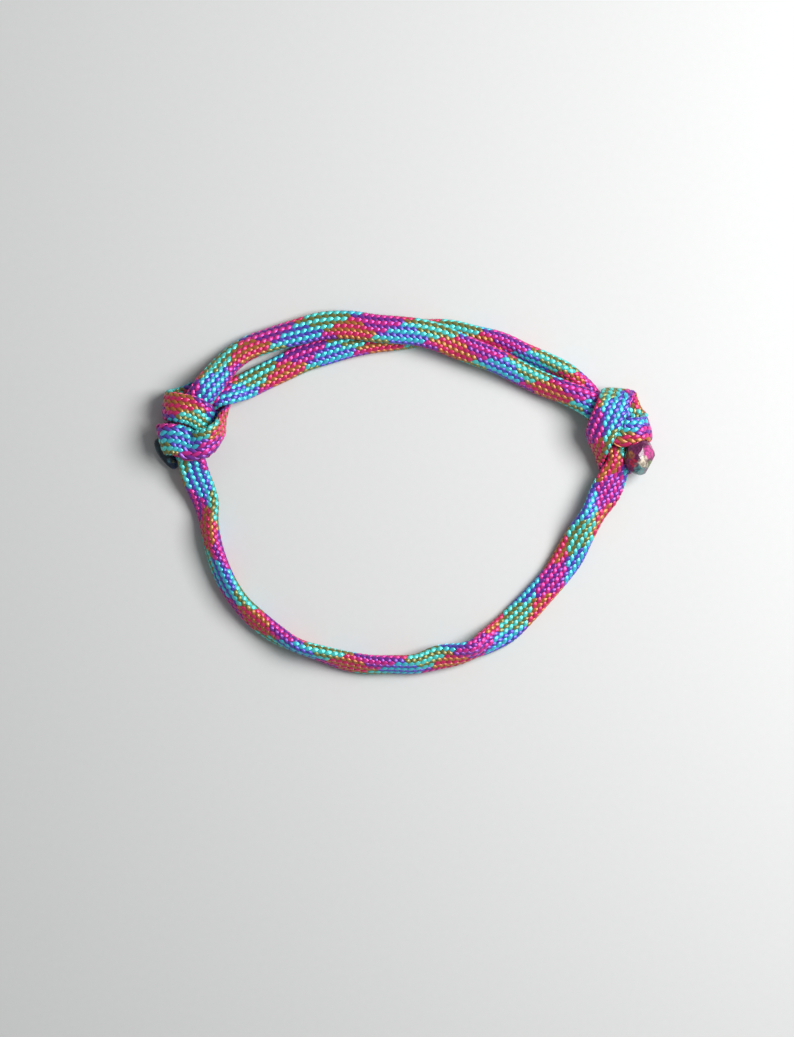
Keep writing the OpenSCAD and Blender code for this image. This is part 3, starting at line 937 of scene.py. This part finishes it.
@dataclass(frozen=True)
class CordStretch:
    """One stretch of the braided cord, which stands for one solid of the model."""

    node: str
    rows: tuple[Row, ...]
    right_turns: Turns
    left_turns: Turns
    far_end: str = "object"
    gap: float = 0.00005
    path_step: int = 5

    def build(self, braid: Braid, materials: list[Material]) -> Object:
        """Builds and dresses the stretch.

        Args:
            braid: The sleeve's braid.
            materials: The materials in the order of the fibres.

        Returns:
            The stretch's object.
        """
        stations = Route(self.rows).stations()
        turns = {Way.RIGHT: self.right_turns, Way.LEFT: self.left_turns}
        yarns = braid.yarns(stations, self.gap, turns).mesh(self.node + "_yarns")
        core = braid.core(stations, self.gap).mesh(self.node + "_core")
        mesh = merged(self.node + "_braid", [yarns, core])
        for material in materials:
            mesh.materials.append(material)
        piece = placed(self.node + "_braid", mesh)
        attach(piece, "root")
        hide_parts(self.node)
        length = stations.length * MILLIMETRES
        LOG.info("%s: %.1f mm of cord, %d faces", self.node, length, len(mesh.polygons))
        return piece

    def declare(self, piece: Object, with_pieces: list[Object]) -> None:
        """Args:
            piece: The stretch's object; not used.
            with_pieces: The separate pieces on it; not used.
        """
        stations = Route(self.rows).stations()


@dataclass(frozen=True)
class Blotch:
    """A soft round spot of colour on a melted end, by its place in the object's plan."""

    x: float
    y: float
    radius: float
    colour: Colour


@dataclass(frozen=True)
class MeltedFinish:
    """Glossy melted filament: a ground colour, fine dark specks and soft blotches."""

    name: str
    ground: Colour
    specks: Colour
    blotches: tuple[Blotch, ...]
    roughness: float
    coat: float
    coat_roughness: float = 0.08
    wander_scale: float = 900.0
    wander_roughness: float = 0.25
    polish: float = 0.08
    speck_scale: float = 2600.0
    speck_contrast: float = -4.0
    speck_level: float = 2.35
    most_specks: float = 0.62
    pit_scale: float = 1900.0
    pit_strength: float = 0.5
    pit_depth: float = 0.0001
    rim_wander: float = 2.4
    rim_least: float = 0.2
    rim_sharpness: float = 1.6

    def material(self) -> Material:
        """Builds the melted end's material."""
        paint = Paint(self.name)
        place = paint.on_piece()
        plan = paint.apart(place)
        wander = paint.noise(place, self.wander_scale)
        speck = paint.noise(place, self.speck_scale)
        colour = paint.mixed(speck, self.specks, self.ground)
        for blotch in self.blotches:
            colour = paint.mixed(self._share(paint, plan, wander, blotch), colour, blotch.colour)
        dark = paint.reckon("MULTIPLY_ADD", speck, self.speck_contrast, self.speck_level)
        smoothest = self.roughness - self.polish
        pits = paint.noise(place, self.pit_scale)
        paint.shade(
            Base_Color=paint.mixed(paint.held(dark, self.most_specks), colour, self.specks),
            Roughness=paint.reckon("MULTIPLY_ADD", wander, self.wander_roughness, smoothest),
            Normal=paint.bump(pits, self.pit_strength, self.pit_depth),
            Coat_Weight=self.coat,
            Coat_Roughness=self.coat_roughness,
        )
        return paint.material

    def _share(
        self, paint: Paint, plan: tuple[NodeSocket, NodeSocket], wander: NodeSocket, blotch: Blotch
    ) -> NodeSocket:
        """Computes how much a blotch covers.

        Args:
            paint: The material in the making.
            plan: The two coordinates of the place in the plan.
            wander: A noise that moves the blotch's rim.
            blotch: The blotch.

        Returns:
            A share from 0 outside the blotch to 1 inside it.
        """
        across = paint.reckon("SUBTRACT", plan[0], blotch.x)
        up = paint.reckon("SUBTRACT", plan[1], blotch.y)
        squares = paint.reckon("MULTIPLY_ADD", up, up, paint.reckon("MULTIPLY", across, across))
        away = paint.reckon("DIVIDE", paint.reckon("SQRT", squares), blotch.radius)
        rim = paint.reckon("MULTIPLY_ADD", wander, self.rim_wander, self.rim_least)
        inside = paint.reckon("SUBTRACT", rim, away)
        return paint.held(paint.reckon("MULTIPLY", inside, self.rim_sharpness), 1.0)


@dataclass(frozen=True)
class MeltedEnd:
    """A melted end of the cord: a rounded lump with pressed facets, set on a route's last row.

    Facets are planes cut off the lump. Each row gives the plane's outward direction along the
    lump's own axes (across, face, along) and its distance from the middle as a share of the size.
    """

    node: str
    rows: tuple[Row, ...]
    half_across: float
    half_face: float
    half_along: float
    sink: float
    sideways: float
    raised: float
    facets: tuple[tuple[float, float, float, float], ...]
    facet_bevel: float
    finish: MeltedFinish
    slot: str
    fineness: int = 4
    box_power: float = 0.8
    boxing: float = 0.8
    sharp_degrees: float = 24.0

    def build(self) -> Object:
        """Builds and dresses the melted end.

        Returns:
            The end's object.
        """
        form = bmesh.new()
        bmesh.ops.create_icosphere(form, subdivisions=self.fineness, radius=1.0)
        for vertex in form.verts:
            boxed = [math.copysign(abs(part) ** self.box_power, part) for part in vertex.co]
            vertex.co = vertex.co.lerp(Vector(boxed), self.boxing)
        for facet in self.facets:
            self._press(form, Vector(facet[:3]).normalized(), facet[3])
        bmesh.ops.transform(form, matrix=self._frame(), verts=form.verts)
        bmesh.ops.recalc_face_normals(form, faces=form.faces)
        mesh = mesh_of(self.node + "_lump", form)
        mesh.materials.append(self.finish.material())
        mesh.polygons.foreach_set("use_smooth", np.ones(len(mesh.polygons), bool))
        mesh.set_sharp_from_angle(angle=math.radians(self.sharp_degrees))
        piece = placed(self.node + "_lump", mesh)
        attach(piece, "root")
        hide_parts(self.node)
        LOG.info("%s: %d faces", self.node, len(mesh.polygons))
        return piece

    def _press(self, form: BMesh, out: Vector, distance: float) -> None:
        """Presses one flat facet into the lump.

        Args:
            form: The lump.
            out: The facet's outward direction.
            distance: The facet's distance from the middle.
        """
        cut = bmesh.ops.bisect_plane(
            form,
            geom=form.verts[:] + form.edges[:] + form.faces[:],
            plane_co=out * distance,
            plane_no=out,
            clear_outer=True,
        )
        rim = [item for item in cut["geom_cut"] if isinstance(item, BMEdge)]
        if not rim:
            return
        bmesh.ops.edgeloop_fill(form, edges=rim)
        bmesh.ops.bevel(
            form,
            geom=rim,
            offset=self.facet_bevel,
            affect="EDGES",
            segments=2,
            profile=0.5,
            material=-1,
            clamp_overlap=True,
        )

    def _frame(self) -> Matrix:
        """Finds where the lump goes.

        Returns:
            The matrix from the lump's own axes to the bracelet's frame.
        """
        stations = Route(self.rows).stations()
        along = Vector(np.cross(stations.face[-1], stations.across[-1]))
        across, face = Vector(stations.across[-1]), Vector(stations.face[-1])
        middle = Vector(stations.centre[-1]) + along * (self.half_along - self.sink)
        middle += across * self.sideways + Vector((0.0, 0.0, self.raised))
        turn = Matrix((across, face, along)).transposed().to_4x4()
        size = Matrix.Diagonal((self.half_across, self.half_face, self.half_along, 1.0))
        return Matrix.Translation(middle) @ turn @ size


@dataclass(frozen=True)
class Studio:
    """The pale floor, the soft lamp at the upper right, the surround and the camera above."""

    pixel: float = 0.00017
    frame_width: int = 794
    frame_height: int = 1037
    middle_x: float = 406.0
    middle_y: float = 491.0
    distance: float = 0.75
    sensor: float = 36.0
    nearest: float = 0.01
    farthest: float = 10.0
    floor_size: float = 1.6
    floor_cells: int = 4
    floor_colour: Colour = (0.615, 0.62, 0.615)
    floor_roughness: float = 0.85
    floor_gloss: float = 0.25
    grain_scale: float = 900.0
    grain_detail: float = 4.0
    grain_shade: float = 0.96
    lamp_place: Place = (0.233, 0.071, 0.291)
    lamp_size: float = 0.22
    lamp_power: float = 2.15
    lamp_colour: Colour = (1.0, 1.0, 0.995)
    surround_colour: Colour = (0.95, 0.975, 1.0)
    surround_strength: float = 0.25

    def camera(self) -> None:
        """Sets the camera straight above, with the photograph's framing."""
        data = bpy.data.cameras.new("camera")
        data.sensor_width = self.sensor
        data.lens = self.sensor * self.distance / (self.frame_height * self.pixel)
        data.clip_start = self.nearest
        data.clip_end = self.farthest
        camera = placed("camera", data)
        x = (self.frame_width / 2 - self.middle_x) * self.pixel
        y = (self.middle_y - self.frame_height / 2) * self.pixel
        camera.location = (x, y, self.distance)
        bpy.context.scene.camera = camera

    def floor(self) -> None:
        """Lays the plain pale floor."""
        form = bmesh.new()
        cells, half = self.floor_cells, self.floor_size / 2
        bmesh.ops.create_grid(form, x_segments=cells, y_segments=cells, size=half)
        mesh = mesh_of("floor", form)
        paint = Paint("pale_paper")
        grain = paint.noise(paint.on_piece(), self.grain_scale, self.grain_detail)
        darker = scaled(self.floor_colour, self.grain_shade)
        paint.shade(
            Base_Color=paint.mixed(grain, darker, self.floor_colour),
            Roughness=self.floor_roughness,
            Specular_IOR_Level=self.floor_gloss,
        )
        mesh.materials.append(paint.material)
        placed("floor", mesh)

    def lamp(self) -> None:
        """Sets the soft square lamp, which looks at the bracelet."""
        data = bpy.data.lights.new("key_lamp", "AREA")
        data.shape = "SQUARE"
        data.size = self.lamp_size
        data.energy = self.lamp_power
        data.color = self.lamp_colour
        lamp = placed("key_lamp", data)
        lamp.location = self.lamp_place
        lamp.rotation_euler = (-Vector(self.lamp_place)).to_track_quat("-Z", "Y").to_euler()

    def surround(self) -> None:
        """Sets the even pale surround and a view that leaves the colours as they are."""
        world = bpy.data.worlds.new("surround")
        bpy.context.scene.world = world
        world.use_nodes = True
        background = world.node_tree.nodes["Background"]
        background.inputs["Color"].default_value = (*self.surround_colour, 1.0)
        background.inputs["Strength"].default_value = self.surround_strength
        bpy.context.scene.view_settings.view_transform = "Standard"


STRETCHES = (
    CordStretch(
        "wrist_strand",
        WRIST_ROUTE,
        right_turns=(
            0.95, 1.45, 1.99, 2.52, 3.0, 3.51, 3.97, 4.41, 4.82, 5.25, 5.7, 6.19, 6.66, 7.09, 7.48,
        ),
        left_turns=(
            0.64, 0.16, -0.28, -0.76, -1.28, -1.78, -2.31, -2.86,
            -3.45, -4.05, -4.6, -5.09, -5.57, -6.12, -6.69,
        ),
    ),
    CordStretch(
        "over_strand",
        OVER_ROUTE,
        right_turns=(0.57, 1.06, 1.56, 2.09, 2.6, 3.1, 3.58, 4.05, 4.49, 4.95),
        left_turns=(0.05, -0.42, -0.88, -1.36, -1.83, -2.31, -2.79, -3.26, -3.77, -4.29),
    ),
    CordStretch(
        "under_strand",
        UNDER_ROUTE,
        right_turns=(0.39, 0.88, 1.41, 1.97, 2.52, 3.03, 3.51, 3.99, 4.49, 5.07),
        left_turns=(0.15, -0.33, -0.83, -1.29, -1.76, -2.23, -2.71, -3.2, -3.64, -4.07),
    ),
    CordStretch(
        "left_knot",
        LEFT_KNOT_ROUTE,
        right_turns=(0.7, 1.19, 1.69, 2.15, 2.61, 3.14, 3.66, 4.15),
        left_turns=(0.97, 0.49, 0.0, -0.47, -0.91, -1.38, -1.86, -2.34),
        far_end="bare",
    ),
    CordStretch(
        "right_knot",
        RIGHT_KNOT_ROUTE,
        right_turns=(0.48, 0.83, 1.18, 1.63, 2.14, 2.64),
        left_turns=(0.69, 0.17, -0.36, -0.9, -1.43, -1.96),
        far_end="bare",
    ),
)

# The melted end on each stretch that has one
MELTED_ENDS = {
    "left_knot": MeltedEnd(
        node="left_melted_end",
        rows=LEFT_KNOT_ROUTE,
        half_across=0.0030,
        half_face=0.00082,
        half_along=0.0013,
        sink=0.0005,
        sideways=0.0,
        raised=0.0,
        facets=((0.5, 0.2, 0.9, 0.86), (-0.6, 0.4, 0.8, 0.88)),
        facet_bevel=0.05,
        finish=MeltedFinish(
            name="dark_melted_filament",
            ground=(0.010, 0.045, 0.085),
            specks=(0.003, 0.008, 0.016),
            blotches=(
                Blotch(-0.0424, 0.0070, 0.0006, (0.01, 0.08, 0.11)),
                Blotch(-0.0393, 0.0043, 0.0006, (0.02, 0.05, 0.15)),
                # A small bright teal spot: the end's own teal, lightened as a painted highlight
                Blotch(-0.0402, 0.0052, 0.0003, (0.08, 0.27, 0.36)),
                Blotch(-0.0395, 0.0050, 0.0002, (0.24, 0.24, 0.09)),
            ),
            roughness=0.2,
            coat=0.25,
        ),
        slot="dark_melted_end",
    ),
    "right_knot": MeltedEnd(
        node="right_melted_end",
        rows=RIGHT_KNOT_ROUTE,
        half_across=0.0031,
        half_face=0.0027,
        half_along=0.0020,
        sink=0.0018,
        sideways=0.0003,
        raised=0.0014,
        facets=(
            (0.9, 0.5, 0.6, 0.93),
            (0.2, 0.3, 1.0, 0.92),
            (-0.8, 0.4, 0.6, 0.86),
            (-0.4, 0.9, 0.5, 0.84),
            (0.5, 1.0, 0.2, 0.86),
            (0.4, -0.9, 0.4, 0.88),
            (-0.5, -0.8, 0.5, 0.88),
        ),
        facet_bevel=0.1,
        finish=MeltedFinish(
            name="pink_melted_filament",
            ground=(0.20, 0.020, 0.11),
            specks=(0.045, 0.006, 0.028),
            blotches=(
                Blotch(0.0412, 0.0065, 0.0010, (0.56, 0.03, 0.25)),
                Blotch(0.0377, 0.0060, 0.0006, (0.28, 0.10, 0.03)),
                Blotch(0.0385, 0.0046, 0.0007, (0.42, 0.015, 0.04)),
                Blotch(0.0396, 0.0036, 0.0010, (0.04, 0.22, 0.22)),
                Blotch(0.0412, 0.0044, 0.0007, (0.14, 0.18, 0.08)),
                Blotch(0.0399, 0.0051, 0.0007, (0.58, 0.50, 0.40)),
                Blotch(0.0402, 0.0043, 0.0005, (0.50, 0.46, 0.34)),
            ),
            roughness=0.22,
            coat=0.3,
        ),
        slot="pink_melted_end",
    ),
}


def main() -> None:
    """Builds the studio, the cord's stretches and its melted ends in order."""
    logging.basicConfig(level=logging.INFO, format="%(name)s: %(message)s")
    studio = Studio()
    studio.camera()
    braid = Braid()
    materials = [finish.material() for finish in YARN_FINISHES.values()]
    materials.append(CoreFinish().material())
    for stretch in STRETCHES:
        piece = stretch.build(braid, materials)
        end = MELTED_ENDS.get(stretch.node)
        stretch.declare(piece, [end.build()] if end else [])
    studio.floor()
    studio.lamp()
    studio.surround()


if __name__ == "__main__":
    main()
